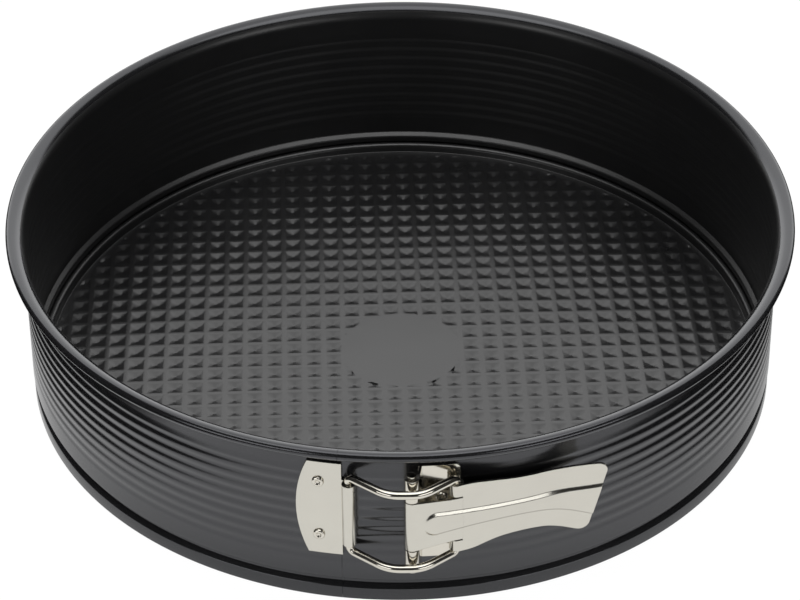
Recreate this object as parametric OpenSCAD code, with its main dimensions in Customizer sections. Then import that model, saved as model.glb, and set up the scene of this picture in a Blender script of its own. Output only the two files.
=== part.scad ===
/* [Ring] */
// Outer diameter of the ring's straight wall
ring_d = 262; // [200:1:320]
// Height from the ring's lower edge to the crest of its rim
ring_h = 65.5; // [62:0.5:90]
// Thickness of the ring's sheet
ring_t = 0.6; // [0.5:0.05:0.7]
// How far the rolled rim stands out from the wall
rim_reach = 5.5; // [5:0.1:8]
// Outer diameter of the curl along the rim
curl_d = 3.4; // [3:0.1:4]
// Height of the lowest groove pressed round the wall
groove_z = 17.8; // [14:0.1:24]
// Spacing of the grooves
groove_pitch = 4.13; // [3:0.01:6]
// Width of a groove at the face of the wall
groove_w = 1.5; // [1:0.1:2]
// Depth of a groove
groove_depth = 0.5; // [0.2:0.05:0.6]

/* [Base seat] */
// How far the face of the band at the foot lies inside the face of the wall
band_step = 0.2; // [0:0.05:0.6]
// Height of that band
band_h = 4.9; // [4.6:0.1:5.2]
// Depth of the bead that stands over the edge of the base
bead_depth = 1.8; // [1.5:0.05:2.1]
// Height of the bead's crest
bead_z = 6.5; // [6.4:0.1:7.4]
// Height at which the straight wall starts above the bead
wall_z = 10.2; // [9.6:0.1:12.5]
// Width of the lip that carries the base
lip_w = 3.7; // [2.5:0.1:6]

/* [Base] */
// Thickness of the base's sheet
base_t = 0.7; // [0.5:0.05:0.9]
// Height of the upper face of the base
base_z = 3.1; // [2.6:0.1:3.6]
// Height of the rolled edge round the base
edge_z = 6.05; // [5.4:0.05:6.2]
// Outer radius of the roll along that edge
edge_r = 1.6; // [1.3:0.05:1.8]
// Room between the base's edge and the round at the ring's foot
edge_gap = 0.7; // [0.4:0.05:0.9]

/* [Clasp] */
// Distance from the crest of the rim down to the middle of the clasp
clasp_drop = 26.6; // [25:0.1:30]
// Height of the two plates on the wall
plate_h = 37.8; // [34:0.1:38]
// Thickness of the two plates
plate_t = 0.8; // [0.6:0.05:1]
// Length of the anchor plate between its rolled eye and the corners of its round end
anchor_l = 11; // [9:0.1:16]
// How far the round end of the anchor plate bulges
anchor_bulge = 3.8; // [2:0.1:6]
// Length of the rolled eye
eye_l = 24.8; // [20:0.1:26]
// Distance of the eye's axis to the left of the pin's axis
eye_span = 20.1; // [18:0.1:26]
// Diameter of the bail's wire
wire_d = 2.8; // [2.4:0.1:3]
// Diameter of the hinge pin
pin_d = 3; // [2.6:0.1:3.4]
// Distance of the pin's axis from the face of the wall
pin_off = 6.5; // [6:0.1:8]
// Distance of the pin's axis to the right of the front centre line
pin_x = 3.1; // [0:0.1:6]
// Length of the wall plate of the hinge bracket
hinge_l = 13.4; // [10:0.1:16]
// Diameter of the rivets
rivet_d = 3; // [2.4:0.1:3.2]

/* [Lever] */
// Thickness of the lever's sheet
lever_t = 0.9; // [0.7:0.05:1]
// Length of the lever from the pin's axis to its tip
lever_l = 60.6; // [58:0.1:80]
// Angle of the closed lever to the front of the pan
lever_a = 16.8; // [15.5:0.1:18]
// Height of the lever across its wings and at its tip
lever_h = 27; // [26:0.1:28]
// Height of the lever at its waist
waist_h = 22.2; // [19:0.1:24]
// Distance from the pin's axis to the waist
waist_x = 38.2; // [36:0.1:42]
// Height of the tongue that is rolled round the pin
tongue_h = 19.5; // [17:0.1:21]
// Distance from the pin's axis to the ears that hold the bail
ear_x = 14.75; // [13:0.05:16]
// Straight length of the lever before its tip turns outward
bend_x = 43.8; // [40:0.1:50]
// Angle by which the tip turns outward
tip_a = 17; // [5:0.5:25]
// Height of the raised panel at the pin's end
panel_h = 9.7; // [7:0.1:12]
// Height of the raised panel where it is narrowest
panel_waist_h = 6.9; // [5:0.1:9]
// Height of the raised panel at the lever's tip
panel_tip_h = 13.6; // [9:0.1:15]
// Height by which the panel is pressed out of the lever
panel_rise = 0.7; // [0.3:0.05:0.8]

/* [Hidden] */
$fn = 96;
coat = [0.2, 0.2, 0.21];
nickel = [0.82, 0.8, 0.74];
// Small room: running fits, a plate on the other half of the joint, and pieces that pass each other
run_gap = 0.05;
seat_gap = 0.1;
pass_gap = 0.4;
far = 400;
// Where a straight length runs into a bend, the bend is a hair thicker and the two lap
swell = 0.005;
bend_lap = 0.1;

ring_r = ring_d / 2;
wall_c = ring_r - ring_t / 2;
band_c = wall_c - band_step;
curl_c = curl_d / 2 - ring_t / 2;
flare_a = 36;
curl_at = [ring_r + rim_reach - curl_d / 2, ring_h - curl_d / 2];
curl_start = 90 + flare_a;
curl_end = -130;
curl_foot = curl_at + curl_c * [cos(curl_start), sin(curl_start)];
flare_z = curl_foot[1] - (curl_foot[0] - wall_c) * tan(flare_a);
flare_bend = 3;
foot_r = 0.4;
// Plain strip of wall between the top groove and the flare
plain_h = 6;
groove_n = floor((flare_z - plain_h - groove_z) / groove_pitch) + 1;

// The seam of the ring at the front: the left end laps over a short tongue of the right end
seam_x = -19.7;
seam_a = asin(seam_x / ring_r);
seam_slit = 0.3;
lap_l = 4;
lap_root = 5;
lap_margin = 2;

skirt_c = band_c - foot_r - edge_gap - base_t / 2;
edge_c = edge_r - base_t / 2;
edge_at = [skirt_c - edge_c, edge_z - edge_r];
edge_turn = 155;
field_z = base_z - base_t / 2;

clasp_z = ring_h - clasp_drop;
plate_r = ring_r + seat_gap;
sheet_roll = run_gap + wire_d / 2;
eye_r = plate_r + plate_t + sheet_roll + 0.02;
eye_at = [pin_x - eye_span, -sqrt(pow(eye_r, 2) - pow(pin_x - eye_span, 2))];
pin_at = [pin_x, -sqrt(pow(ring_r + pin_off, 2) - pow(pin_x, 2))];
barrel_in = pin_d / 2 + run_gap;
barrel_out = barrel_in + lever_t;
ear_out = sheet_roll + lever_t;
ear_y = barrel_out - lever_t - sheet_roll;
ear_at = pin_at + lever_dir(ear_x, ear_y);
slit_w = 0.4;
bend_r = 34;
waist_r = 65;
// The lever's waist and tip lie a little above the middle of the clasp
waist_lift = 1.15;
tip_lift = 0.9;
tip_slant = 13.5;
panel_x = 2.5;
panel_waist_x = waist_x - 4;
bail_half = lever_h / 2 + pass_gap + wire_d / 2;
bow_y = pin_at[1] - barrel_out - pass_gap - wire_d / 2;
bow_left = pin_x - 7.6;
bow_right = pin_x + 3.2;
bow_r = 12;
eye_bend_r = 2.2;
knuckle_h = (plate_h - tongue_h) / 2 - pass_gap;
hinge_x = pin_x + 2.9;
anchor_rivet_x = eye_at[0] - 9.6;
hinge_rivet_x = hinge_x + 6.5;
plate_corner = 2;
anchor_rivet_dz = 11;
hinge_rivet_dz = 6;
rivet_head_d = rivet_d + 1;
rivet_head_h = 0.9;
rivet_dimple_r = rivet_d / 2 - 0.5;
rivet_dimple_h = 0.5;

// The ring's axis lies behind the origin, which is the middle of the whole outline with the clasp
axis_y = (wire_d / 2 - bow_y - ring_r - rim_reach) / 2;

// Direction in plan of a point of the closed lever: u along it and v outward from the pan
function lever_dir(u, v) = u * [cos(lever_a), sin(lever_a)] + v * [sin(lever_a), -cos(lever_a)];

// Points along an arc in a plane
function arc(centre, r, from, to, n) =
    [for (i = [0 : n]) centre + r * [cos(from + (to - from) * i / n), sin(from + (to - from) * i / n)]];

// Left-hand normal of the step from a to b
function side(a, b) = [a[1] - b[1], b[0] - a[0]] / norm(b - a);

// A path moved sideways by d
function moved(p, d) =
    let (last = len(p) - 1)
    [for (i = [0 : last])
        let (
            before = side(p[max(i - 1, 0)], p[max(i, 1)]),
            after = side(p[min(i, last - 1)], p[min(i + 1, last)])
        )
        p[i] + d * (before + after) / (1 + before * after)];

// Outline of a sheet of thickness t along a path
function sheet(p, t) =
    let (back = moved(p, -t / 2))
    concat(moved(p, t / 2), [for (i = [len(p) - 1 : -1 : 0]) back[i]]);

// A corner of a path, rounded with radius r
function rounded(a, b, c, r, n = 3) =
    let (
        u = (a - b) / norm(a - b),
        v = (c - b) / norm(c - b),
        half = acos(u * v) / 2,
        mid = (u + v) / norm(u + v),
        centre = b + mid * r / sin(half),
        first = b + u * r / tan(half) - centre,
        last = b + v * r / tan(half) - centre,
        start = atan2(first[1], first[0]),
        sweep = atan2(first[0] * last[1] - first[1] * last[0], first * last)
    )
    arc(centre, r, start, start + sweep, n);

// Section of the ring: lip, band, bead, grooved wall, flare and rolled rim
function ring_path() =
    let (
        lip = [band_c - lip_w, ring_t / 2],
        foot = [band_c, ring_t / 2],
        band_top = [band_c, band_h],
        bead = [wall_c - bead_depth, bead_z],
        wall_foot = [wall_c, wall_z],
        wall_top = [wall_c, flare_z]
    )
    concat(
        [lip],
        rounded(lip, foot, band_top, foot_r),
        rounded(foot, band_top, bead, 0.8),
        rounded(band_top, bead, wall_foot, 0.7),
        rounded(bead, wall_foot, wall_top, 1.2),
        [for (i = [0 : groove_n - 1], s = [[-0.5, 0], [-0.17, 1], [0.17, 1], [0.5, 0]])
            [wall_c - s[1] * groove_depth, groove_z + i * groove_pitch + s[0] * groove_w]],
        rounded(wall_foot, wall_top, curl_foot, flare_bend),
        arc(curl_at, curl_c, curl_start, curl_end, 10)
    );

// Section of the base: flat field, rise, rolled edge and the skirt that stands on the lip
function base_path() =
    let (
        crest = arc(edge_at, edge_c, edge_turn, 0, 8),
        corner = [crest[0][0] - (crest[0][1] - field_z) * tan(180 - edge_turn), field_z]
    )
    concat([[0, field_z]], rounded([0, field_z], corner, crest[0], 0.6), crest, [[skirt_c, ring_t]]);

// Half the height of the raised panel at a distance along the lever
function panel_half(u, start) =
    let (
        left = u < panel_waist_x,
        t = (u - panel_waist_x) / (left ? start - panel_waist_x : lever_l - panel_waist_x),
        full = left ? panel_h : panel_tip_h
    )
    (panel_waist_h + (full - panel_waist_h) * t * t) / 2;

// Carries a piece from the ring's own axis to its place about the origin
module placed() translate([0, axis_y, 0]) children();

// Sector of a revolve, from one angle to another, counted from the front centre line to the right
module sector(from, to) rotate([0, 0, from - 90]) rotate_extrude(angle = to - from, $fn = 180) children();

// Places its children on the front wall, with their +Z pointing out of the pan
module on_wall(x, z) {
    rotate([0, 0, asin(x / ring_r)]) translate([0, -ring_r, z]) rotate([90, 0, 0]) children();
}

// A piece of sheet bent to the wall, cut to an outline in X and height
module wall_sheet(r, t) {
    intersection() {
        difference() {
            cylinder(r = r + t, h = ring_h, $fn = 360);
            translate([0, 0, -1]) cylinder(r = r, h = ring_h + 2, $fn = 360);
        }
        rotate([90, 0, 0]) linear_extrude(far) children();
    }
}

// A tube about a vertical axis
module tube(at, r_in, r_out, z, h) {
    translate([at[0], at[1], z]) difference() {
        cylinder(r = r_out, h = h);
        translate([0, 0, -1]) cylinder(r = r_in, h = h + 2);
    }
}

// A straight length of wire
module wire_run(a, b) {
    d = b - a;
    translate(a) rotate([0, acos(d[2] / norm(d)), atan2(d[1], d[0])])
        cylinder(d = wire_d, h = norm(d), $fn = 48);
}

// A bend of a wire at b on its way from a to c
module wire_bend(a, b, c, r) {
    u = (a - b) / norm(a - b);
    v = (c - b) / norm(c - b);
    turn = 180 - acos(u * v);
    cut = r * tan(turn / 2);
    start = b + u * cut;
    axis = cross(v, u) / norm(cross(v, u));
    inward = cross(u, axis);
    multmatrix([[-inward[0], -u[0], axis[0], start[0] + r * inward[0]],
                [-inward[1], -u[1], axis[1], start[1] + r * inward[1]],
                [-inward[2], -u[2], axis[2], start[2] + r * inward[2]],
                [0, 0, 0, 1]])
        rotate_extrude(angle = turn, $fn = 96) translate([r, 0]) circle(d = wire_d + 2 * swell, $fn = 48);
}

// How much of the run before and after a corner its bend takes
function bend_cut(a, b, c, r) =
    r * tan((180 - acos((a - b) * (c - b) / (norm(a - b) * norm(c - b)))) / 2);

// A wire along points, bent with one radius at each inner point
module wire(p, r) {
    last = len(p) - 1;
    for (i = [0 : last - 1]) {
        d = (p[i + 1] - p[i]) / norm(p[i + 1] - p[i]);
        from = i == 0 ? 0 : bend_cut(p[i - 1], p[i], p[i + 1], r[i]) - bend_lap;
        to = i == last - 1 ? 0 : bend_cut(p[i], p[i + 1], p[i + 2], r[i + 1]) - bend_lap;
        wire_run(p[i] + d * from, p[i + 1] - d * to);
    }
    for (i = [1 : last - 1]) wire_bend(p[i - 1], p[i], p[i + 1], r[i]);
}

// A rivet through the wall: head with a round shoulder and a dimple on the plate outside, flat tail inside
module rivet(x, z, plate_face) {
    r = rivet_head_d / 2;
    h = rivet_head_h;
    tail_z = ring_t + groove_depth + seat_gap;
    tail_h = 0.5;
    on_wall(x, z) {
        translate([0, 0, -tail_z - tail_h / 2]) cylinder(d = rivet_d, h = plate_face + tail_z + tail_h);
        translate([0, 0, -tail_z - tail_h]) cylinder(d = rivet_head_d, h = tail_h);
        translate([0, 0, plate_face]) rotate_extrude() polygon(concat(
            [[0, 0], [r, 0]],
            rounded([r, 0], [r, h], [0, h], 0.8 * h, 4),
            [[rivet_dimple_r, h], [rivet_dimple_r / 2, h - 0.8 * rivet_dimple_h], [0, h - rivet_dimple_h]]));
    }
}

// A hole for a rivet through the wall
module rivet_hole(x, z, gap) on_wall(x, z) translate([0, 0, -5]) cylinder(d = rivet_d + 2 * gap, h = 10);

// The lever's sheet in its own frame: straight from the pin, then bent outward, from depth v0 to v1
module lever_sheet(v0, v1) {
    h = lever_h + 4;
    pivot_v = barrel_out + bend_r;
    translate([0, v0, -h / 2]) cube([bend_x + bend_lap, v1 - v0, h]);
    translate([bend_x, pivot_v, -h / 2]) {
        rotate([0, 0, -90]) rotate_extrude(angle = tip_a, $fn = 360)
            translate([pivot_v - v1 - swell, 0]) square([v1 - v0 + 2 * swell, h]);
        rotate([0, 0, tip_a]) translate([-bend_lap, v0 - pivot_v, 0]) cube([lever_l - bend_x, v1 - v0, h]);
    }
}

// Carries an outline, drawn along the lever and across it, through the lever's sheet
module lever_cut() rotate([90, 0, 0]) linear_extrude(far, center = true) children();

// Outline of the lever: tongue, slits that free the ears, wings, waist and slanted tip
module lever_outline() {
    half = lever_h / 2;
    end = tongue_h / 2 - 1.2;
    slit_x = ear_x + 1.4;
    slant = half * tan(tip_slant);
    top_tip = [lever_l + slant, half + tip_lift];
    low_tip = [lever_l - slant, tip_lift - half];
    edge = [[0, tongue_h / 2], [ear_x - ear_out, end], [slit_x, end], [slit_x, end + slit_w],
            [ear_x, end + slit_w], [ear_x, half]];
    difference() {
        polygon(concat(edge, rounded([ear_x, half], top_tip, low_tip, 3, 6),
                       rounded(top_tip, low_tip, [ear_x, -half], 3, 6),
                       [for (i = [len(edge) - 1 : -1 : 0]) [edge[i][0], -edge[i][1]]]));
        for (s = [-1, 1])
            translate([waist_x, waist_lift + s * (waist_h / 2 + waist_r)]) circle(r = waist_r, $fn = 360);
    }
}

// Outline of the raised panel, smaller all round by an inset: round at the pin's end, narrow near the waist
module lever_panel(inset) {
    n = 14;
    start = panel_x + panel_h / 2;
    end = lever_l + 6;
    edge = [for (i = [0 : n]) let (u = start + (end - start) * i / n) [u, panel_half(u, start) - inset]];
    translate([start, 0]) circle(r = panel_h / 2 - inset);
    polygon(concat(edge, [for (i = [n : -1 : 0]) [edge[i][0], -edge[i][1]]]));
}

module base_plate() color(coat) placed() rotate_extrude($fn = 180) polygon(sheet(base_path(), base_t));

module ring_band() {
    lap_r = wall_c - ring_t / 2 - groove_depth - seat_gap;
    lap_z = wall_z + lap_margin;
    lap_h = flare_z - wall_z - 2 * lap_margin;
    open_a = seam_a + seam_slit / ring_r * 180 / PI;
    weld_a = 1 / ring_r * 180 / PI;
    root_a = open_a + lap_root / ring_r * 180 / PI;
    end_a = seam_a - lap_l / ring_r * 180 / PI;
    weld_t = ring_t / 2 + groove_depth + 1.5 * seat_gap;
    color(coat) placed() difference() {
        union() {
            sector(open_a, seam_a + 360) polygon(sheet(ring_path(), ring_t));
            sector(end_a, root_a) translate([lap_r - ring_t, lap_z]) square([ring_t, lap_h]);
            sector(open_a + weld_a, root_a - weld_a)
                translate([lap_r - ring_t / 2, lap_z + 1]) square([weld_t, lap_h - 2]);
        }
        for (dz = [-1, 1]) {
            rivet_hole(anchor_rivet_x, clasp_z + dz * anchor_rivet_dz, seat_gap);
            rivet_hole(hinge_rivet_x, clasp_z + dz * hinge_rivet_dz, 0);
        }
    }
}

module anchor_plate() {
    eye_x = eye_at[0];
    end_x = eye_x - sheet_roll - plate_t - anchor_l - anchor_bulge;
    round_r = (pow(plate_h / 2, 2) + pow(anchor_bulge, 2)) / (2 * anchor_bulge);
    color(nickel) placed() difference() {
        union() {
            wall_sheet(plate_r, plate_t) {
                intersection() {
                    translate([end_x, clasp_z - plate_h / 2]) square([anchor_l + anchor_bulge, plate_h]);
                    translate([end_x + round_r, clasp_z]) circle(r = round_r, $fn = 360);
                }
                translate([eye_x - 4, clasp_z - eye_l / 2]) square([4, eye_l]);
            }
            tube(eye_at, sheet_roll, sheet_roll + plate_t, clasp_z - eye_l / 2, eye_l);
        }
        for (dz = [-1, 1]) rivet_hole(anchor_rivet_x, clasp_z + dz * anchor_rivet_dz, 0);
    }
}

module anchor_rivet_upper() {
    color(nickel) placed() rivet(anchor_rivet_x, clasp_z + anchor_rivet_dz, seat_gap + plate_t);
}

module anchor_rivet_lower() {
    color(nickel) placed() rivet(anchor_rivet_x, clasp_z - anchor_rivet_dz, seat_gap + plate_t);
}

module wire_bail() {
    top = clasp_z + bail_half;
    low = clasp_z - bail_half;
    plan = [ear_at, [bow_right, bow_y], [bow_left, bow_y], eye_at];
    color(nickel) placed() wire(
        concat([for (p = plan) [p[0], p[1], top]], [for (i = [3 : -1 : 0]) [plan[i][0], plan[i][1], low]]),
        [0, bow_r, bow_r, eye_bend_r, eye_bend_r, bow_r, bow_r, 0]);
}

module hinge_bracket() {
    roll_c = (barrel_out + pin_d / 2) / 2;
    foot = [hinge_x, -sqrt(pow(ring_r + plate_t / 2, 2) - pow(hinge_x, 2))];
    to_foot = atan2(foot[1] - pin_at[1], foot[0] - pin_at[0]);
    meet_a = to_foot - acos(roll_c / norm(foot - pin_at));
    meet = pin_at + roll_c * [cos(meet_a), sin(meet_a)];
    low = clasp_z - plate_h / 2;
    top = low + plate_h;
    left = hinge_x - plate_t;
    right = left + hinge_l;
    color(nickel) placed() difference() {
        union() {
            wall_sheet(ring_r, plate_t) polygon(concat(
                [[left, top], [left, low]],
                rounded([left, low], [right, low], [right, top], plate_corner, 6),
                rounded([right, low], [right, top], [left, top], plate_corner, 6)));
            for (z = [low, top - knuckle_h]) {
                translate([0, 0, z]) linear_extrude(knuckle_h) polygon(sheet([meet, foot], lever_t - 0.1));
                tube(pin_at, pin_d / 2, barrel_out, z, knuckle_h);
            }
        }
        for (dz = [-1, 1]) rivet_hole(hinge_rivet_x, clasp_z + dz * hinge_rivet_dz, 0);
    }
}

module hinge_rivet_upper() color(nickel) placed() rivet(hinge_rivet_x, clasp_z + hinge_rivet_dz, plate_t);

module hinge_rivet_lower() color(nickel) placed() rivet(hinge_rivet_x, clasp_z - hinge_rivet_dz, plate_t);

module hinge_pin() {
    top_stub = 1.2;
    low_stub = 0.3;
    color(nickel) placed() translate([pin_at[0], pin_at[1], clasp_z - plate_h / 2 - low_stub])
        cylinder(d = pin_d, h = plate_h + low_stub + top_stub);
}

module clamp_lever() {
    inner = barrel_in + 0.05;
    outer = barrel_out - 0.02;
    ear_low = tongue_h / 2 - 1.2 + slit_w;
    pin_mid = [pin_at[0], pin_at[1], clasp_z];
    color(nickel) placed() translate(pin_mid) rotate([0, 0, lever_a]) mirror([0, 1, 0]) {
        intersection() {
            union() {
                difference() {
                    lever_sheet(inner, outer);
                    lever_cut() lever_panel(lever_t);
                }
                intersection() {
                    lever_sheet(inner + panel_rise, outer + panel_rise);
                    lever_cut() lever_panel(0);
                }
            }
            lever_cut() lever_outline();
        }
        tube([0, 0], barrel_in, barrel_out, -tongue_h / 2, tongue_h);
        for (z = [ear_low, -lever_h / 2]) tube([ear_x, ear_y], sheet_roll, ear_out, z, lever_h / 2 - ear_low);
    }
}

base_plate();
ring_band();
anchor_plate();
anchor_rivet_upper();
anchor_rivet_lower();
wire_bail();
hinge_bracket();
hinge_rivet_upper();
hinge_rivet_lower();
hinge_pin();
clamp_lever();
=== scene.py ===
import math

import bpy
import numpy as np
from mathutils import Matrix, Vector


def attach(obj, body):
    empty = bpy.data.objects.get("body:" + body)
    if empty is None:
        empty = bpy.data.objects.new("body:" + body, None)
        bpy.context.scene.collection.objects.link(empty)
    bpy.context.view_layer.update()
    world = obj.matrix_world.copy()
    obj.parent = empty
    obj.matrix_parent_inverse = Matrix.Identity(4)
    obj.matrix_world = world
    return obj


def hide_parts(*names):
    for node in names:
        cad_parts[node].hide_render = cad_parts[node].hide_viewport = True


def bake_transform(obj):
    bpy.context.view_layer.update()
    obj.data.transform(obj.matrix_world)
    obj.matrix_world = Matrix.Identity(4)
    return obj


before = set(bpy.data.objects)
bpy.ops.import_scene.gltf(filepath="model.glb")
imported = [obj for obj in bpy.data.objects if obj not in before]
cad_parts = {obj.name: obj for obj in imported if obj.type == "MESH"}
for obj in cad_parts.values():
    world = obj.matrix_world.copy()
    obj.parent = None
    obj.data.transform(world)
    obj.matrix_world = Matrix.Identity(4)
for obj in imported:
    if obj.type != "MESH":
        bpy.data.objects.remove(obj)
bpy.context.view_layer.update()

# BASE PLATE: a loose round of steel sheet with a dark non-stick coat. A press strikes square pits all over its
# field, leaves a plain round in the middle, and rolls the edge up and down again into a skirt. The skirt stands
# on the ring's lip, under the ring's bead.
MM = 0.001
axis_y = 3.3075
sheet_base = 0.7
field_top = 3.1
field_edge = 124.9
plain_round = 21.6
pit_pitch = 7.05
pit_land = 1.5
pit_depth = 0.66
pit_floor = 0.35
pit_fade = 1.6
pit_turn = math.radians(1.67)
pit_shift = (0.5, -1.6)
edge_start = field_edge + 0.35
edge_lean = 13
edge_foot_r = 0.6
crest_r = 1.25
crest_high = 4.45
skirt_r = 129.05
skirt_mid = 3
skirt_low = 0.6


def mesh_piece(name, points, faces, smooth_angle=math.radians(38)):
    mesh = bpy.data.meshes.new(name)
    metres = [(float(x) * MM, float(y + axis_y) * MM, float(z) * MM) for x, y, z in points]
    mesh.from_pydata(metres, [], [tuple(map(int, f)) for f in faces])
    mesh.validate()
    mesh.shade_smooth()
    mesh.set_sharp_from_angle(angle=smooth_angle)
    piece = bpy.data.objects.new(name, mesh)
    bpy.context.scene.collection.objects.link(piece)
    return piece


def arc_points(centre, r, start, end, steps):
    turns = [math.radians(start + (end - start) * i / steps) for i in range(steps + 1)]
    return [(centre[0] + r * math.cos(a), centre[1] + r * math.sin(a)) for a in turns]


def round_corner(a, b, c, r, steps):
    """The arc that rounds the corner b between a and c."""
    a, b, c = (np.array(p, float) for p in (a, b, c))
    u, v = (a - b) / np.linalg.norm(a - b), (c - b) / np.linalg.norm(c - b)
    half = math.acos(float(np.clip(u @ v, -1, 1))) / 2
    mid = (u + v) / np.linalg.norm(u + v)
    centre = b + mid * r / math.sin(half)
    first, last = b + u * r / math.tan(half) - centre, b + v * r / math.tan(half) - centre
    start = math.degrees(math.atan2(first[1], first[0]))
    sweep = math.degrees(math.atan2(first[0] * last[1] - first[1] * last[0], float(first @ last)))
    return arc_points(centre, r, start, start + sweep, steps)


def sheet_outline(path, thickness):
    """The outline of a bent sheet, from the middle line of its section."""
    path = np.array(path, float)
    step = np.diff(path, axis=0)
    side = np.stack([-step[:, 1], step[:, 0]], 1) / np.linalg.norm(step, axis=1)[:, None]
    before, after = np.vstack([side[:1], side]), np.vstack([side, side[-1:]])
    way = (before + after) / (1 + (before * after).sum(1))[:, None]
    return np.vstack([path + way * thickness / 2, (path - way * thickness / 2)[::-1]])


def revolve(outline, start, end, steps):
    """A closed outline in radius and height, turned about the pan's axis from one angle to another."""
    angles = np.radians(np.linspace(start, end, steps + 1))
    n, whole = len(outline), abs(end - start) >= 360
    turns = angles[:-1] if whole else angles
    points = [(r * math.sin(a), -r * math.cos(a), z) for a in turns for r, z in outline]
    rows = steps if whole else steps + 1
    faces = [(i * n + j, i * n + (j + 1) % n, (i + 1) % rows * n + (j + 1) % n, (i + 1) % rows * n + j)
             for i in range(steps) for j in range(n)]
    if not whole:
        faces += [tuple(range(n))[::-1], tuple(range((rows - 1) * n, rows * n))]
    return points, faces


def waffle_field(lines):
    """One face of the pressed field, on lines that repeat with the pits, cut off along two circles."""
    half = (pit_pitch - pit_land) / 2
    cells = int(field_edge / pit_pitch) + 2
    grid = np.array([k * pit_pitch + line for k in range(-cells, cells) for line in lines])
    from_pit = np.abs((grid % pit_pitch) - pit_pitch / 2)
    gx, gy = np.meshgrid(grid, grid, indexing="ij")
    reach = np.maximum(from_pit[:, None], from_pit[None, :])
    height = field_top - pit_depth * np.clip((half - reach) / half, 0, 1 - pit_floor / half)
    c, s = math.cos(pit_turn), math.sin(pit_turn)
    x = c * (gx + pit_shift[0]) - s * (gy + pit_shift[1])
    y = s * (gx + pit_shift[0]) + c * (gy + pit_shift[1])
    r = np.hypot(x, y)
    near_edge = np.clip((field_edge - r) / pit_fade, 0, 1)
    height = field_top - (field_top - height) * near_edge * near_edge * (3 - 2 * near_edge)
    inside = (r < field_edge) & (r > plain_round)
    points, index, rims = [], {}, {field_edge: [], plain_round: []}

    def grid_point(i, j):
        if (i, j) not in index:
            index[i, j] = len(points)
            points.append((x[i, j], y[i, j], height[i, j]))
        return index[i, j]

    def rim_point(a, b):
        key = (min(a, b), max(a, b))
        if key not in index:
            (x0, y0), (x1, y1) = (x[a], y[a]), (x[b], y[b])
            rim = field_edge if max(r[a], r[b]) > field_edge else plain_round
            dx, dy = x1 - x0, y1 - y0
            qa, qb, qc = dx * dx + dy * dy, 2 * (x0 * dx + y0 * dy), x0 * x0 + y0 * y0 - rim * rim
            root = math.sqrt(max(qb * qb - 4 * qa * qc, 0))
            meets = ((-qb - root) / (2 * qa), (-qb + root) / (2 * qa))
            t = next((t for t in meets if -1e-9 <= t <= 1 + 1e-9), 0.5)
            index[key] = len(points)
            rims[rim].append(len(points))
            points.append((x0 + t * dx, y0 + t * dy, field_top))
        return index[key]

    faces = []
    for i in range(len(grid) - 1):
        for j in range(len(grid) - 1):
            corners = [(i, j), (i + 1, j), (i + 1, j + 1), (i, j + 1)]
            held = [inside[q] for q in corners]
            if all(held):
                p = [grid_point(*q) for q in corners]
                away = ((grid[i] + grid[i + 1]) / 2 % pit_pitch - pit_pitch / 2) * (
                    (grid[j] + grid[j + 1]) / 2 % pit_pitch - pit_pitch / 2)
                if away > 0:
                    faces += [(p[0], p[1], p[2]), (p[0], p[2], p[3])]
                else:
                    faces += [(p[0], p[1], p[3]), (p[1], p[2], p[3])]
            elif any(held):
                ring = []
                for k in range(4):
                    a, b = corners[k], corners[(k + 1) % 4]
                    if inside[a]:
                        ring.append(grid_point(*a))
                    if inside[a] != inside[b]:
                        ring.append(rim_point(a, b))
                if len(ring) > 2:
                    faces.append(tuple(ring))
    return points, faces, rims


def zip_rings(points, inner, outer):
    """Triangles between two rings of points about the pan's axis, facing up."""
    turn = lambda k: math.atan2(points[k][1], points[k][0])
    first = min(turn(k) for k in inner)
    after = lambda k: (turn(k) - first) % math.tau
    inner, outer = sorted(inner, key=after), sorted(outer, key=after)
    steps = [(after(k), 0) for k in inner[1:]] + [(math.tau, 0)] + [(after(k), 1) for k in outer]
    faces, i, j = [], 0, -1
    for _, side in sorted(steps):
        if side == 0:
            faces.append((inner[i], outer[j], inner[(i + 1) % len(inner)]))
            i = (i + 1) % len(inner)
        else:
            faces.append((inner[i], outer[j], outer[j + 1]))
            j += 1
    return faces


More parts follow.
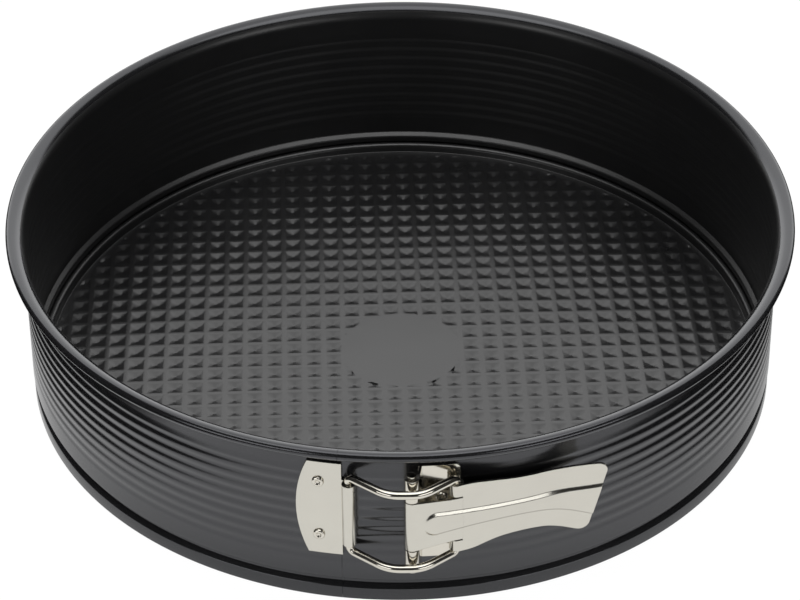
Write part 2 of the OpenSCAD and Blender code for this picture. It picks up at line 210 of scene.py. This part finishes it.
def base_mesh():
    mid = field_top - sheet_base / 2
    crest = arc_points((skirt_r - crest_r, crest_high), crest_r, 180 - edge_lean, 0, 22)
    foot = (crest[0][0] - (crest[0][1] - mid) * math.tan(math.radians(edge_lean)), mid)
    path = [(edge_start, mid)] + round_corner((0, mid), foot, crest[0], edge_foot_r, 6)
    path += crest + [(skirt_r, skirt_mid), (skirt_r, skirt_low)]
    outline = sheet_outline(path, sheet_base)
    around, n = 360, len(outline)
    points, faces = revolve(outline, 0, 360, around)
    faces = [f for k, f in enumerate(faces) if k % n != n - 1]
    upper_ring = [i * n for i in range(around)]
    lower_ring = [i * n + n - 1 for i in range(around)]
    edge, middle = pit_land / 2, pit_pitch / 2
    fine = [edge - 0.1, edge + 0.1, edge + 0.45, middle - 0.6, middle - pit_floor]
    fine += [pit_pitch - line for line in fine[::-1]]
    coarse = [edge, middle - 0.5, middle + 0.5, pit_pitch - edge]
    disc_r, spokes = 0.96 * plain_round, 200
    turns = [k / spokes * math.tau for k in range(spokes)]
    for lines, thickness, ring in ((fine, 0, upper_ring), (coarse, sheet_base, lower_ring)):
        face, face_sides, rims = waffle_field(lines)
        first = len(face)
        face += [(disc_r * math.cos(a), disc_r * math.sin(a), field_top) for a in turns]
        face.append((0, 0, field_top))
        disc = list(range(first, first + spokes))
        face_sides += zip_rings(face, disc, rims[plain_round])
        face_sides += [(first + spokes, disc[k], disc[(k + 1) % spokes]) for k in range(spokes)]
        start = len(points)
        points += [(x, y, z - thickness) for x, y, z in face]
        face_sides = [tuple(start + v for v in f) for f in face_sides]
        face_sides += zip_rings(points, [start + v for v in rims[field_edge]], ring)
        faces += [f[::-1] for f in face_sides] if thickness else face_sides
    return points, faces


def coat_material(name, colour, gleam, roughness, grain):
    """Dark non-stick coat: a fine orange-peel skin with a slightly uneven gloss."""
    coat_ior, cloud_scale, skin_scale = 1.68, 55, 2600
    mat = bpy.data.materials.new(name)
    mat.use_nodes = True
    nodes, links = mat.node_tree.nodes, mat.node_tree.links
    shader = nodes["Principled BSDF"]
    shader.inputs["IOR"].default_value = coat_ior
    shader.inputs["Specular Tint"].default_value = (*gleam, 1)
    place = nodes.new("ShaderNodeTexCoord")
    cloud = nodes.new("ShaderNodeTexNoise")
    cloud.inputs["Scale"].default_value = cloud_scale
    cloud.inputs["Detail"].default_value = 5
    links.new(place.outputs["Object"], cloud.inputs["Vector"])
    tint = nodes.new("ShaderNodeMix")
    tint.data_type = "RGBA"
    tint.inputs["A"].default_value = (*[c * 0.86 for c in colour], 1)
    tint.inputs["B"].default_value = (*[c * 1.14 for c in colour], 1)
    links.new(cloud.outputs["Fac"], tint.inputs["Factor"])
    links.new(tint.outputs["Result"], shader.inputs["Base Color"])
    gloss = nodes.new("ShaderNodeMapRange")
    gloss.inputs["To Min"].default_value = roughness * 0.85
    gloss.inputs["To Max"].default_value = roughness * 1.15
    links.new(cloud.outputs["Fac"], gloss.inputs["Value"])
    links.new(gloss.outputs["Result"], shader.inputs["Roughness"])
    skin = nodes.new("ShaderNodeTexNoise")
    skin.inputs["Scale"].default_value = skin_scale
    skin.inputs["Detail"].default_value = 2
    links.new(place.outputs["Object"], skin.inputs["Vector"])
    bump = nodes.new("ShaderNodeBump")
    bump.inputs["Strength"].default_value = grain
    bump.inputs["Distance"].default_value = 0.0001
    links.new(skin.outputs["Fac"], bump.inputs["Height"])
    links.new(bump.outputs["Normal"], shader.inputs["Normal"])
    return mat


base_coat = coat_material("base_coat", (0.012, 0.012, 0.0125), gleam=(1, 1, 1), roughness=0.29, grain=0.2)
base_sheet = mesh_piece("base_sheet", *base_mesh(), math.radians(35))
base_sheet.data.materials.append(base_coat)
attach(base_sheet, "base")
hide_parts("base_plate")

# RING: one strip of steel sheet, coated glossy black outside and matt inside, rolled up and split at the front.
# A lip and an inward bead at its foot hold the base, shallow grooves stiffen the wall, and the top flares out
# into a curled rim. It springs open at the seam, where a tongue laps the joint on the inside.
sheet_ring = 0.6
wall_r = 130.7
wall_low = 9.4
lip_r = 126.8
band_r = 130.5
band_high = 4.9
bead_r = wall_r - 1.8
bead_low = 6.5
bead_high = 8.2
foot_rounds = ((0.4, 5), (0.5, 5), (0.6, 4), (0.6, 5), (0.8, 8))
rim_edge = 1.4
rim_at = (134.8, 63.8)
rim_bell = 4.78
bell_end = 97
curl_end = -130
groove_first = 17.8
groove_step = 4.13
groove_count = 10
groove_deep = 0.27
groove_points = 12
seam_x = -19.7
seam_angle = math.degrees(math.asin(seam_x / (wall_r + sheet_ring / 2)))
seam_open = 0.05
lap_r = (129.2, 129.8)
lap_z = (12.2, 60)
lap_turn = (-1.75, 2.3)


def smooth(a, b, x):
    t = min(max((x - a) / (b - a), 0), 1)
    return t * t * (3 - 2 * t)


def ring_path():
    """Middle line of the ring's sheet, from the lip at its foot to the end of its curled rim.

    With it comes the number of its points, from the lip up, that have the matt coat on their inner side.
    """
    shift, way = rim_edge - rim_bell, math.radians(bell_end)
    bell_at = (rim_at[0] + shift * math.cos(way), rim_at[1] + shift * math.sin(way))
    bell = arc_points(bell_at, rim_bell, 180, bell_end, 24)
    curl = arc_points(rim_at, rim_edge, bell_end, curl_end, 36)[1:]
    sole = sheet_ring / 2
    corners = [(lip_r, sole), (band_r, sole), (band_r, band_high), (bead_r, bead_low), (bead_r, bead_high),
               (wall_r, wall_low), (wall_r, groove_first)]
    path = corners[:1]
    for a, b, c, (r, steps) in zip(corners, corners[1:], corners[2:], foot_rounds):
        path += round_corner(a, b, c, r, steps)
    last = groove_count - 0.5
    for t in np.linspace(0, last, groove_count * groove_points - 5):
        deep = max(0.5 - 0.5 * math.cos(math.tau * t), smooth(last - 1, last, t))
        path.append((wall_r - groove_deep * deep, groove_first + (t - 0.5) * groove_step))
    return path + bell + curl, len(path) + len(bell) // 2


ring_coat = coat_material(
    "ring_coat", (0.0125, 0.0125, 0.0135), gleam=(0.94, 0.955, 1), roughness=0.16, grain=0.1)
inner_coat = coat_material(
    "inner_coat", (0.0125, 0.0125, 0.013), gleam=(1, 1, 1), roughness=0.36, grain=0.2)
ring_line, matt_points = ring_path()
ring_section = sheet_outline(ring_line, sheet_ring)
ring_fixed = mesh_piece("ring_fixed_half", *revolve(ring_section, seam_angle + seam_open, 180, steps=190))
ring_free = mesh_piece("ring_free_half", *revolve(ring_section, 180, 360 + seam_angle, steps=170))
lap_section = [(lap_r[0], lap_z[0]), (lap_r[1], lap_z[0]), (lap_r[1], lap_z[1]), (lap_r[0], lap_z[1])]
lap_from, lap_to = (seam_angle + turn for turn in lap_turn)
lap_tongue = mesh_piece("ring_lap", *revolve(lap_section, lap_from, lap_to, steps=12))
for piece in (ring_fixed, ring_free):
    piece.data.materials.append(ring_coat)
    piece.data.materials.append(inner_coat)
    for k, side in enumerate(piece.data.polygons):
        inner_side = side.loop_total == 4 and k % len(ring_section) < matt_points
        side.material_index = 1 if inner_side else 0
lap_tongue.data.materials.append(inner_coat)
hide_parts("ring_band")
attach(ring_fixed, "ring")
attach(lap_tongue, "ring")
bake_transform(ring_free)

# ANCHOR PLATE AND RIVETS: nickel-plated steel plate on the ring's free end, with a round left edge and an eye
# for the wire bail rolled from its right edge. Two rivets with dimpled heads hold it to the wall.


def nickel_material(name, colour, roughness, edge_round):
    """Bright nickel plate on pressed steel: warm white, with a faint grain and softened edges."""
    mat = bpy.data.materials.new(name)
    mat.use_nodes = True
    nodes, links = mat.node_tree.nodes, mat.node_tree.links
    shader = nodes["Principled BSDF"]
    shader.inputs["Metallic"].default_value = 1
    place = nodes.new("ShaderNodeTexCoord")
    cloud = nodes.new("ShaderNodeTexNoise")
    cloud.inputs["Scale"].default_value = 140
    cloud.inputs["Detail"].default_value = 4
    links.new(place.outputs["Object"], cloud.inputs["Vector"])
    tint = nodes.new("ShaderNodeMix")
    tint.data_type = "RGBA"
    tint.inputs["A"].default_value = (*[c * 0.96 for c in colour], 1)
    tint.inputs["B"].default_value = (*[min(c * 1.04, 1) for c in colour], 1)
    links.new(cloud.outputs["Fac"], tint.inputs["Factor"])
    links.new(tint.outputs["Result"], shader.inputs["Base Color"])
    gloss = nodes.new("ShaderNodeMapRange")
    gloss.inputs["To Min"].default_value = roughness * 0.8
    gloss.inputs["To Max"].default_value = roughness * 1.2
    links.new(cloud.outputs["Fac"], gloss.inputs["Value"])
    links.new(gloss.outputs["Result"], shader.inputs["Roughness"])
    soft_edge = nodes.new("ShaderNodeBevel")
    soft_edge.samples = 4
    soft_edge.inputs["Radius"].default_value = edge_round * MM
    bump = nodes.new("ShaderNodeBump")
    bump.inputs["Strength"].default_value = 0.015
    bump.inputs["Distance"].default_value = 0.0001
    grain = nodes.new("ShaderNodeTexNoise")
    grain.inputs["Scale"].default_value = 1400
    links.new(place.outputs["Object"], grain.inputs["Vector"])
    links.new(grain.outputs["Fac"], bump.inputs["Height"])
    links.new(soft_edge.outputs["Normal"], bump.inputs["Normal"])
    links.new(bump.outputs["Normal"], shader.inputs["Normal"])
    return mat


def dress(node, mat):
    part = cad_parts[node]
    part.data.materials.clear()
    part.data.materials.append(mat)


nickel_sheet = nickel_material("nickel_sheet", (0.60, 0.58, 0.52), roughness=0.2, edge_round=0.2)
nickel_bright = nickel_material("nickel_bright", (0.64, 0.61, 0.54), roughness=0.12, edge_round=0.15)
dress("anchor_plate", nickel_sheet)
for node in ("anchor_rivet_upper", "anchor_rivet_lower"):
    dress(node, nickel_bright)

# HINGE BRACKET, RIVETS AND PIN: nickel-plated plate, riveted to the ring's fixed end behind the lever.
# Its two knuckles are rolled round a steel pin that the lever turns on.
for node in ("hinge_bracket", "hinge_rivet_upper", "hinge_rivet_lower", "hinge_pin"):
    dress(node, nickel_bright)

# LEVER: pressed from nickel-plated sheet. Its tongue is rolled into a barrel round the pin, and two ears beside
# it are slit free and curled for the bail. A long panel is raised along the middle, and the tip turns outward.
# Lengths run along the lever from the pin, heights from the middle of the clasp.
pin_at = np.array((3.1, -137.465))
clasp_mid = 38.9
lever_lie = math.radians(16.8)
lever_sheet = 0.9
lever_out = 2.45
lever_end = 60.6
head_half = 13.6
head_soft = 0.3
waist_at, waist_half, waist_bow, waist_reach = 38.2, 11.07, 65.0, 40
head_lift, waist_lift, tip_drop = 0.15, 1.0, 0.3
lift_span, drop_span = (16, 30), (42, 50)
bend_from, bend_r, bend_turn = 43.8, 34.0, math.radians(17)
tip_slant = math.tan(math.radians(13.5))
slant_from = 44
tip_round = 3
barrel_half, tongue_half = 9.75, 8.55
barrel_turn, ear_turn, roll_steps = 320, 310, 34
slit_end = 12.4
ear_joint = 16.2
ear_u, ear_v = 14.75, 0.1
ear_out_r = 2.35
ear_in, ear_out = 9.15, 13.5
panel_start, panel_neck = 7.35, 34.5
panel_half, panel_head, panel_tail = 3.45, 1.4, 3.35
panel_high, panel_shoulder = 0.75, 1.5


def lever_world(u, v, z):
    c, s = math.cos(lever_lie), math.sin(lever_lie)
    return (pin_at[0] + u * c + v * s, pin_at[1] + u * s - v * c, clasp_mid + z)


def lever_line(s):
    """Middle of the lever's sheet and its outward normal at developed length s from above the pin."""
    mid = lever_out - lever_sheet / 2
    if s <= bend_from:
        return np.array((s, mid)), np.array((0.0, 1.0))
    mid_r = bend_r + lever_sheet / 2
    turn = min((s - bend_from) / mid_r, bend_turn)
    normal = np.array((-math.sin(turn), math.cos(turn)))
    at = np.array((bend_from, lever_out + bend_r)) - mid_r * normal
    rest = s - bend_from - mid_r * turn
    return at + rest * np.array((math.cos(turn), math.sin(turn))), normal


def lever_half(u):
    waist = waist_half + waist_bow - math.sqrt(waist_bow ** 2 - min(abs(u - waist_at), waist_reach) ** 2)
    half = -head_soft * math.log(math.exp(-waist / head_soft) + math.exp(-head_half / head_soft))
    left = lever_end - u
    if left < tip_round:
        half -= tip_round - math.sqrt(max(tip_round ** 2 - (tip_round - left) ** 2, 0))
    return half


def lever_lift(u):
    """How far the lever lies above the middle of the clasp: little at its head, to leave room for the bail."""
    return head_lift + waist_lift * smooth(*lift_span, u) - tip_drop * smooth(*drop_span, u)


def panel_rise(u, z):
    t = (u - panel_neck) / (panel_start - panel_neck if u < panel_neck else lever_end - panel_neck)
    wide = panel_half + (panel_head if u < panel_neck else panel_tail) * t * t
    round_end = panel_half + panel_head - math.hypot(u - panel_start, z)
    inside = round_end if u < panel_start else wide - abs(z)
    return panel_high * smooth(0.0, panel_shoulder, inside)


def lever_mesh():
    across = [0, 0.8, 1.4, 1.8, 2.2, 2.6, 3, 3.4, 3.8, 4.2, 4.6, 5, 5.4, 5.8, 6.2, 6.6, 7, 7.5, 8, tongue_half]
    across = [-t for t in across[:0:-1]] + across
    bend_end = bend_from + (bend_r + lever_sheet / 2) * bend_turn
    flat_end = bend_end + (lever_end - lever_line(bend_end)[0][0]) / math.cos(bend_turn)
    lengths = [0, 1, 2, 2.7] + list(np.arange(3.2, 14, 0.4)) + list(np.arange(14, bend_from, 1.1))
    lengths += list(np.linspace(bend_from, bend_end, 14))
    lengths += list(np.linspace(bend_end + 0.5, flat_end - tip_round - 0.2, 5))
    tip_steps, tip_length = 8, tip_round / math.cos(bend_turn)
    for k in range(tip_steps + 1):
        lengths.append(flat_end - tip_length * (1 - math.sin(math.pi / 2 * k / tip_steps)))
    points, faces = [], []

    def strip(rows):
        """A sheet with two faces and an edge all round, from rows of points that each carry a normal."""
        count, wide = len(rows), len(rows[0])
        base = len(points)
        for face in (0.5, -0.5):
            for row in rows:
                for at, normal, z in row:
                    p = at + normal * lever_sheet * face
                    points.append(lever_world(p[0], p[1], z))
        back = base + count * wide
        quads = [(i * wide + j, (i + 1) * wide + j, (i + 1) * wide + j + 1, i * wide + j + 1)
                 for i in range(count - 1) for j in range(wide - 1)]
        faces.extend(tuple(base + k for k in q) for q in quads)
        faces.extend(tuple(back + k for k in q[::-1]) for q in quads)
        edge = [(0, j) for j in range(wide)] + [(i, wide - 1) for i in range(1, count)]
        edge += [(count - 1, j) for j in range(wide - 2, -1, -1)] + [(i, 0) for i in range(count - 2, 0, -1)]
        ids = [i * wide + j for i, j in edge]
        for a, b in zip(ids, ids[1:] + ids[:1]):
            faces.append((base + a, base + b, back + b, back + a))

    def sheet_row(s, heights):
        row = []
        for z in heights:
            at, normal = lever_line(s)
            u = at[0]
            shear = tip_slant * z * smooth(slant_from, lever_end, u)
            moved, normal = lever_line(s + shear)
            row.append((moved + normal * panel_rise(u, z), normal, z))
        return row

    def heights_at(s):
        u = lever_line(s)[0][0]
        top = lever_half(u)
        if s < slit_end:
            edge = barrel_half - (barrel_half - tongue_half) * s / slit_end
            return [t * edge / tongue_half for t in across]
        if s < ear_joint:
            return across
        lift = lever_lift(u)
        up = [tongue_half + (top + lift - tongue_half) * k / 6 for k in range(1, 7)]
        down = [tongue_half + (top - lift - tongue_half) * k / 6 for k in range(1, 7)]
        return [-w for w in down[::-1]] + across + up

    def rolled(turn):
        return np.array((-math.sin(math.radians(turn)), math.cos(math.radians(turn))))

    barrel_r = lever_out - lever_sheet / 2
    barrel = []
    for turn in np.linspace(barrel_turn, 0, roll_steps)[:-1]:
        normal = rolled(turn)
        barrel.append([(normal * barrel_r, normal, t * barrel_half / tongue_half) for t in across])
    narrow = [s for s in lengths if s < ear_joint]
    wide = [s for s in lengths if s > ear_joint]
    strip(barrel + [sheet_row(s, heights_at(s)) for s in narrow] + [sheet_row(ear_joint, across)])
    strip([sheet_row(s, heights_at(s)) for s in [ear_joint] + wide])
    ear_r = ear_out_r - lever_sheet / 2
    curl_at = np.array((ear_u, ear_v))
    for sign in (-1, 1):
        rows = []
        wing = [ear_in + (ear_out - ear_in) * k / 7 for k in range(8)]
        for turn in np.linspace(ear_turn, 0, roll_steps)[:-1]:
            normal = rolled(turn)
            rows.append([(curl_at + normal * ear_r, normal, sign * z) for z in wing])
        for s in np.linspace(ear_u, ear_joint, 6):
            top = lever_half(s) + sign * lever_lift(s) * (s - ear_u) / (ear_joint - ear_u)
            wing = [ear_in + (top - ear_in) * k / 7 for k in range(8)]
            rows.append([(lever_line(s)[0], rolled(0), sign * z) for z in wing])
        if sign < 0:
            rows = [row[::-1] for row in rows]
        strip(rows)
    return points, faces


lever = mesh_piece("lever", *lever_mesh(), math.radians(50))
lever.data.materials.append(nickel_sheet)
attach(lever, "lever")
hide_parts("clamp_lever")

# WIRE BAIL: nickel-plated steel wire, bent into a loop. Its upright runs through the anchor plate's eye, its
# two arms bow round the hinge knuckles, and its ends turn in at the lever's ears.
wire_d = 2.8
eye_at = (-17.0, -132.282)
bail_reach = 15.3
bail_end = 13.55
bow_gap = 0.4
bow_right, bow_left = 3.2, -7.6
end_bend, arm_bend, eye_bend = 1.7, 12, 2.2


def wire_mesh(path, sides=20):
    path = np.array(path, float)
    along = np.gradient(path, axis=0)
    along /= np.linalg.norm(along, axis=1)[:, None]
    points, faces = [], []
    across = np.array((0.3, 0.2, 0.93))  # any way that the wire doesn't run
    for at, way in zip(path, along):
        across = across - way * (across @ way)
        across /= np.linalg.norm(across)
        third = np.cross(way, across)
        points += [tuple(at + wire_d / 2 * (math.cos(t) * across + math.sin(t) * third))
                   for t in np.linspace(0, math.tau, sides, endpoint=False)]
    for i in range(len(path) - 1):
        here, there = i * sides, (i + 1) * sides
        faces += [(here + j, here + (j + 1) % sides, there + (j + 1) % sides, there + j) for j in range(sides)]
    faces += [tuple(range(sides))[::-1], tuple(range((len(path) - 1) * sides, len(path) * sides))]
    return points, faces


def bent(points, radii, steps=8, longest=1.5):
    """A path through the points with each corner rounded, in short pieces."""
    points = [np.array(p, float) for p in points]
    path = [points[0]]
    for a, b, c, r in zip(points, points[1:], points[2:], radii):
        u, v = (a - b) / np.linalg.norm(a - b), (c - b) / np.linalg.norm(c - b)
        half = math.acos(float(np.clip(u @ v, -1, 1))) / 2
        mid = (u + v) / np.linalg.norm(u + v)
        centre = b + mid * r / math.sin(half)
        first, last = b + u * r / math.tan(half) - centre, b + v * r / math.tan(half) - centre
        sweep = math.pi - 2 * half
        for t in (k / steps for k in range(steps + 1)):
            spoke = math.sin((1 - t) * sweep) * first + math.sin(t * sweep) * last
            path.append(centre + spoke / math.sin(sweep))
    path.append(points[-1])
    full = [path[0]]
    for p in path[1:]:
        gap = np.linalg.norm(p - full[-1])
        pieces = max(1, int(gap / longest))
        full += [full[-1] + (p - full[-1]) * k / pieces for k in range(1, pieces + 1)]
    return full


ear_at = np.array(lever_world(ear_u, ear_v, 0)[:2])
bow_out = pin_at[1] - lever_out - bow_gap - wire_d / 2
plan = [ear_at, (pin_at[0] + bow_right, bow_out), (pin_at[0] + bow_left, bow_out), eye_at]
high, low = clasp_mid + bail_reach, clasp_mid - bail_reach
route = [(*ear_at, clasp_mid + bail_end)] + [(*p, high) for p in plan]
route += [(*p, low) for p in plan[::-1]] + [(*ear_at, clasp_mid - bail_end)]
bends = [end_bend, arm_bend, arm_bend, eye_bend]
bail = mesh_piece("bail_wire", *wire_mesh(bent(route, bends + bends[::-1])))
bail.data.materials.append(nickel_bright)
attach(bail, "bail")
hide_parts("wire_bail")

# FLOOR, LIGHT AND CAMERA: a white table and a pale backdrop under a bright strip of ceiling, with a low soft
# box on each side of the camera. The room is dim, and the table's mirror image is bright only in front of and
# behind the pan, which draws dark lines along the grooves, the rim and the bright wire.
scene = bpy.context.scene
scene.view_settings.view_transform = "Standard"

floor_mesh = bpy.data.meshes.new("floor")
far = 15
floor_mesh.from_pydata([(-far, -far, 0), (far, -far, 0), (far, far, 0), (-far, far, 0)], [], [(0, 1, 2, 3)])
floor = bpy.data.objects.new("floor", floor_mesh)
floor.location.z = -0.0002
scene.collection.objects.link(floor)
floor_white = bpy.data.materials.new("floor_white")
floor_white.use_nodes = True
world = bpy.data.worlds.new("room")
world.use_nodes = True
scene.world = world


class Wiring:
    """Short calls for the arithmetic of a node tree."""

    def __init__(self, tree):
        self.nodes, self.links = tree.nodes, tree.links

    def math(self, kind, *values):
        node = self.nodes.new("ShaderNodeMath")
        node.operation = kind
        for value, socket in zip(values, node.inputs):
            if isinstance(value, (int, float)):
                socket.default_value = value
            else:
                self.links.new(value, socket)
        return node.outputs[0]

    def ramp(self, value, start, end, low=0.0, high=1.0):
        step = self.nodes.new("ShaderNodeMapRange")
        step.interpolation_type = "SMOOTHSTEP"
        for name, number in (("From Min", start), ("From Max", end), ("To Min", low), ("To Max", high)):
            step.inputs[name].default_value = number
        self.links.new(value, step.inputs["Value"])
        return step.outputs["Result"]

    def length(self, x, y):
        squares = [self.math("MULTIPLY", side, side) for side in (x, y)]
        return self.math("SQRT", self.math("ADD", *squares))

    def apart(self, vector):
        parts = self.nodes.new("ShaderNodeSeparateXYZ")
        self.links.new(vector, parts.inputs["Vector"])
        return parts.outputs


table = Wiring(floor_white.node_tree)
paint = table.nodes["Principled BSDF"]
paint.inputs["Base Color"].default_value = (0.86, 0.86, 0.86, 1)
paint.inputs["Roughness"].default_value = 0.8
paint.inputs["Specular IOR Level"].default_value = 0.0
glow = table.nodes.new("ShaderNodeEmission")
glow.inputs["Color"].default_value = (1, 1, 1, 1)
rays = table.nodes.new("ShaderNodeLightPath").outputs
spot = table.apart(table.nodes.new("ShaderNodeNewGeometry").outputs["Position"])
# The table's glow seen in reflections is painted light: a bright strip in front of and behind the pan, a
# painted shadow round the pan's foot, and a painted shade on the right side.
in_middle = table.ramp(table.math("ABSOLUTE", spot["X"]), 0.136, 0.166, 1.0, 0.01)
painted_pan_shadow = table.ramp(table.length(spot["X"], spot["Y"]), 0.130, 0.150, 0.72, 1.0)
painted_right_shade = table.ramp(spot["X"], 0.07, 0.15, 1.0, 0.8)
lit = table.math("MULTIPLY", in_middle, table.math("MULTIPLY", painted_pan_shadow, painted_right_shade))
white = table.math("MULTIPLY", rays["Is Camera Ray"], 1.06)
table.links.new(table.math("MAXIMUM", white, lit), glow.inputs["Strength"])
mirrored = table.math("MAXIMUM", rays["Is Glossy Ray"], rays["Is Transmission Ray"])
seen = table.math("MAXIMUM", table.math("MULTIPLY", rays["Is Camera Ray"], 0.92), mirrored)
mix = table.nodes.new("ShaderNodeMixShader")
table.links.new(seen, mix.inputs["Fac"])
table.links.new(paint.outputs["BSDF"], mix.inputs[1])
table.links.new(glow.outputs["Emission"], mix.inputs[2])
table.links.new(mix.outputs["Shader"], table.nodes["Material Output"].inputs["Surface"])
floor_mesh.materials.append(floor_white)

room = Wiring(world.node_tree)
way = room.apart(room.nodes.new("ShaderNodeTexCoord").outputs["Generated"])
level = room.length(way["X"], way["Y"])
to_back = room.math("DIVIDE", way["Y"], room.math("MAXIMUM", level, 0.001))
upper_back, lower_back = room.ramp(way["Z"], 0.83, 0.875, 1.55, 1.25), room.ramp(way["Z"], 0.3, 0.45, 0.25, 0.0)
backdrop = room.math("MULTIPLY", room.ramp(to_back, 0.56, 0.7), room.math("ADD", upper_back, lower_back))
front_strip, back_strip = room.ramp(way["Y"], 0.02, 0.14, 1.0, 0.0), room.ramp(way["Y"], 0.3, 0.4, 1.3, 0.55)
strips = room.math("MULTIPLY", room.ramp(way["Y"], -0.5, -0.36), room.math("ADD", front_strip, back_strip))
ceiling = room.math("MULTIPLY", room.ramp(way["Z"], 0.82, 0.88), strips)
dim = 0.03
room.links.new(room.math("MAXIMUM", room.math("MAXIMUM", backdrop, ceiling), dim),
               room.nodes["Background"].inputs["Strength"])
room.nodes["Background"].inputs["Color"].default_value = (1, 1, 1, 1)

for side in (-1, 1):
    lamp = bpy.data.lights.new("front_box", "AREA")
    lamp.shape = "RECTANGLE"
    lamp.size, lamp.size_y = 0.95, 0.54
    lamp.energy = 3.1
    box = bpy.data.objects.new("front_box", lamp)
    box.location = (side * 1.0, -1.2, 0.434)
    box.rotation_euler = (Vector((0, 0, 0.03)) - box.location).to_track_quat("-Z", "Y").to_euler()
    scene.collection.objects.link(box)

image_wide, sensor_wide, focus_px = 800, 36, 3253
lean, distance, roll = math.radians(36.57), 1.15, math.radians(-0.416)
aim = Vector((0, axis_y * MM, 0.03))
forward = Vector((0, math.cos(lean), -math.sin(lean)))
right, up = Vector((1, 0, 0)), Vector((0, math.sin(lean), math.cos(lean)))
cr, sr = math.cos(roll), math.sin(roll)
cam_right, cam_up = right * cr + up * sr, up * cr - right * sr
camera_data = bpy.data.cameras.new("camera")
camera_data.sensor_width = sensor_wide
camera_data.lens = focus_px / image_wide * sensor_wide
camera_data.shift_x = -0.59 / image_wide
camera_data.shift_y = -11.36 / image_wide
camera_data.clip_start, camera_data.clip_end = 0.05, 50
camera = bpy.data.objects.new("camera", camera_data)
camera.matrix_world = Matrix((
    (cam_right.x, cam_up.x, -forward.x, 0), (cam_right.y, cam_up.y, -forward.y, 0),
    (cam_right.z, cam_up.z, -forward.z, 0), (0, 0, 0, 1)))
camera.location = aim - forward * distance
scene.collection.objects.link(camera)
scene.camera = camera
